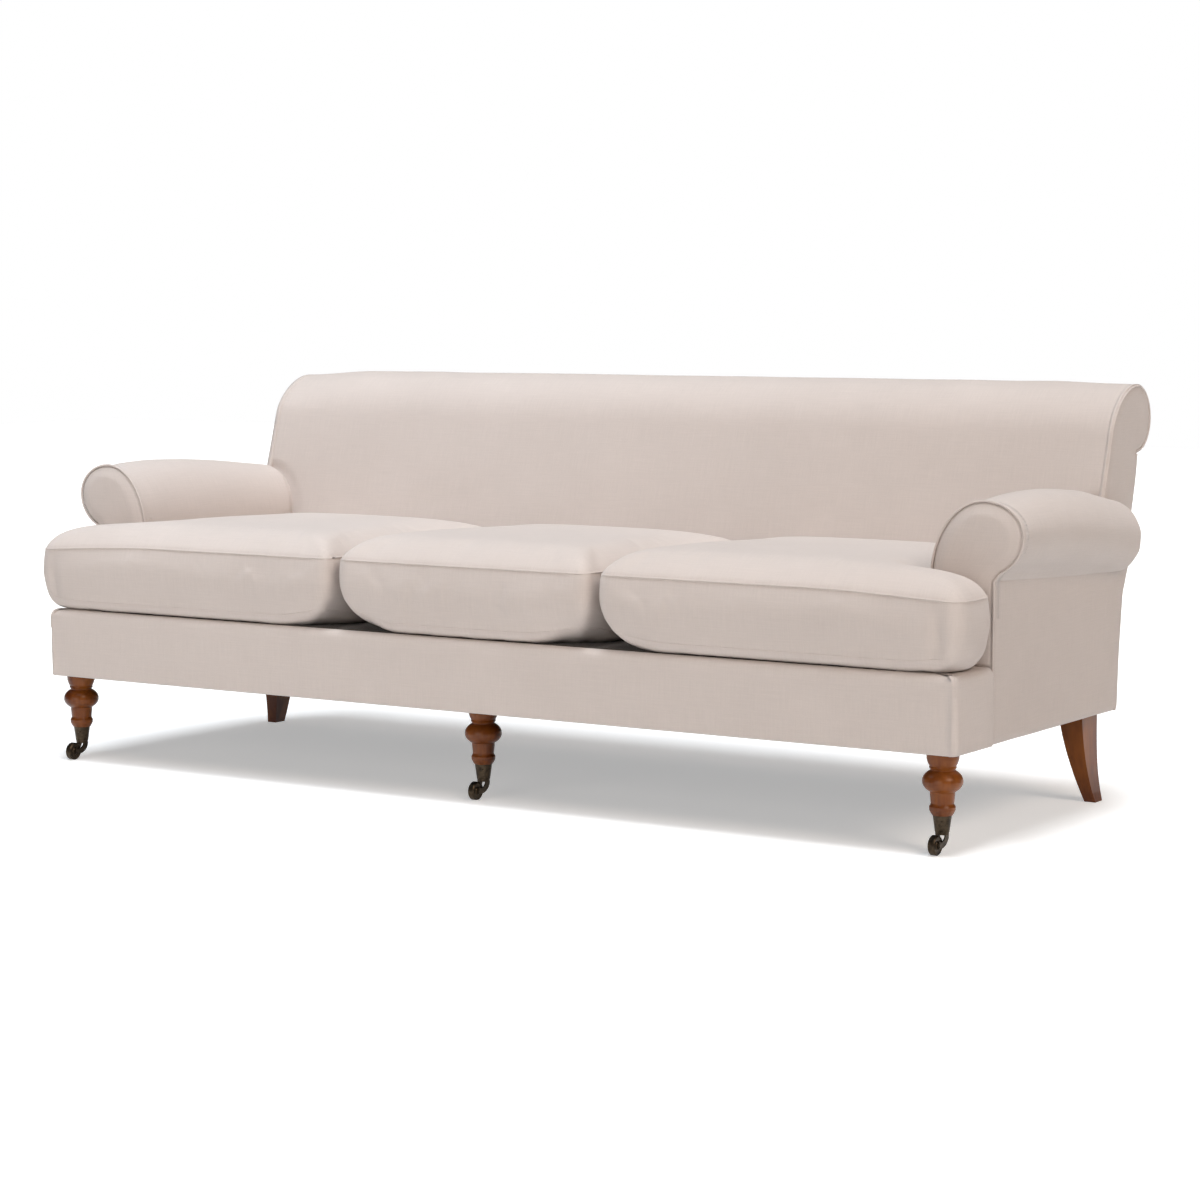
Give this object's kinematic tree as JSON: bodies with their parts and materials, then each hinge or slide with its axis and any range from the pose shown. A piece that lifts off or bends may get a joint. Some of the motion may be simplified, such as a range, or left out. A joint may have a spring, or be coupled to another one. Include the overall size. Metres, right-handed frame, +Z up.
{
  "type": "lawson sofa",
  "caption": "Three-seat upholstered sofa with rolled arms, tight rolled back, loose T-shaped seat cushions, turned front legs on casters and swept rear legs.",
  "frame": {"origin": "middle of the whole object's footprint, on the floor", "axes": "+X along the sofa towards the right arm as seen by someone standing in front of it, +Y from the front towards the back, +Z up"},
  "size_m": [2.283, 0.9642, 0.8345],
  "materials": {
    "cover_fabric": "matt slubby linen weave, tightly upholstered",
    "cushion_fabric": "matt slubby linen weave over a soft filling",
    "deck_cloth": "matt plain weave",
    "dust_cloth": "thin matt black non-woven cloth",
    "webbing": "matt woven jute",
    "frame_wood": "unfinished kiln-dried hardwood",
    "leg_wood": "honey-brown stain, satin lacquer",
    "spring_steel": "plain drawn wire",
    "caster_bronze": "dark antique bronze"
  },
  "bodies": {
    "frame": {"frame_front_rail": "frame_wood", "frame_rear_rail": "frame_wood", "frame_side_rail_left": "frame_wood", "frame_side_rail_right": "frame_wood", "frame_cross_rails": "frame_wood", "corner_blocks": "frame_wood", "arm_post_left": "frame_wood", "arm_post_right": "frame_wood", "arm_boards": "frame_wood", "arm_slats": "frame_wood", "back_post_left": "frame_wood", "back_post_right": "frame_wood", "back_mid_posts": "frame_wood", "back_top_rail": "frame_wood", "back_rails": "frame_wood", "seat_springs": "spring_steel", "spring_clips": "spring_steel", "back_webbing": "webbing", "front_border": "cover_fabric", "seat_deck": "deck_cloth", "arm_inside_left": "cover_fabric", "arm_inside_right": "cover_fabric", "arm_roll_left": "cover_fabric", "arm_roll_right": "cover_fabric", "arm_facing_left": "cover_fabric", "arm_facing_right": "cover_fabric", "arm_welt_left": "cover_fabric", "arm_welt_right": "cover_fabric", "arm_outside_left": "cover_fabric", "arm_outside_right": "cover_fabric", "inside_back": "cover_fabric", "back_scroll_left": "cover_fabric", "back_scroll_right": "cover_fabric", "back_welt_left": "cover_fabric", "back_welt_right": "cover_fabric", "outside_back": "cover_fabric", "dust_cover": "dust_cloth", "front_leg_left": "leg_wood", "front_leg_centre": "leg_wood", "front_leg_right": "leg_wood", "rear_leg_left": "leg_wood", "rear_leg_right": "leg_wood", "leg_bolts": "spring_steel", "caster_cup_left": "caster_bronze", "caster_cup_centre": "caster_bronze", "caster_cup_right": "caster_bronze", "caster_screws": "caster_bronze"},
    "caster_fork_left": {"caster_fork_left": "caster_bronze", "caster_axle_left": "caster_bronze"},
    "caster_wheel_left": {"caster_wheel_left": "caster_bronze"},
    "seat_cushion_left": {"seat_cushion_left": "cushion_fabric"},
    "caster_fork_centre": {"caster_fork_centre": "caster_bronze", "caster_axle_centre": "caster_bronze"},
    "caster_wheel_centre": {"caster_wheel_centre": "caster_bronze"},
    "seat_cushion_centre": {"seat_cushion_centre": "cushion_fabric"},
    "caster_fork_right": {"caster_fork_right": "caster_bronze", "caster_axle_right": "caster_bronze"},
    "caster_wheel_right": {"caster_wheel_right": "caster_bronze"},
    "seat_cushion_right": {"seat_cushion_right": "cushion_fabric"}
  },
  "joints": [
    {"name": "caster_swivel_left", "type": "hinge", "parent": "frame", "child": "caster_fork_left", "pos_m": [-1.043, -0.42716, 0.04], "axis": [0, 0, 1], "continuous": true},
    {"name": "caster_roll_left", "type": "hinge", "parent": "caster_fork_left", "child": "caster_wheel_left", "pos_m": [-1.043, -0.45516, 0.0185], "axis": [1, 0, 0], "continuous": true},
    {"name": "caster_swivel_centre", "type": "hinge", "parent": "frame", "child": "caster_fork_centre", "pos_m": [0, -0.38416, 0.04], "axis": [0, 0, 1], "continuous": true},
    {"name": "caster_roll_centre", "type": "hinge", "parent": "caster_fork_centre", "child": "caster_wheel_centre", "pos_m": [0, -0.41216, 0.0185], "axis": [1, 0, 0], "continuous": true},
    {"name": "caster_swivel_right", "type": "hinge", "parent": "frame", "child": "caster_fork_right", "pos_m": [1.043, -0.42716, 0.04], "axis": [0, 0, 1], "continuous": true},
    {"name": "caster_roll_right", "type": "hinge", "parent": "caster_fork_right", "child": "caster_wheel_right", "pos_m": [1.043, -0.45516, 0.0185], "axis": [1, 0, 0], "continuous": true},
    {"name": "cushion_lift_left", "type": "slide", "parent": "frame", "child": "seat_cushion_left", "axis": [0, 0, 1], "range_m": [0, 0.5]},
    {"name": "cushion_lift_centre", "type": "slide", "parent": "frame", "child": "seat_cushion_centre", "axis": [0, 0, 1], "range_m": [0, 0.5]},
    {"name": "cushion_lift_right", "type": "slide", "parent": "frame", "child": "seat_cushion_right", "axis": [0, 0, 1], "range_m": [0, 0.5]}
  ]
}
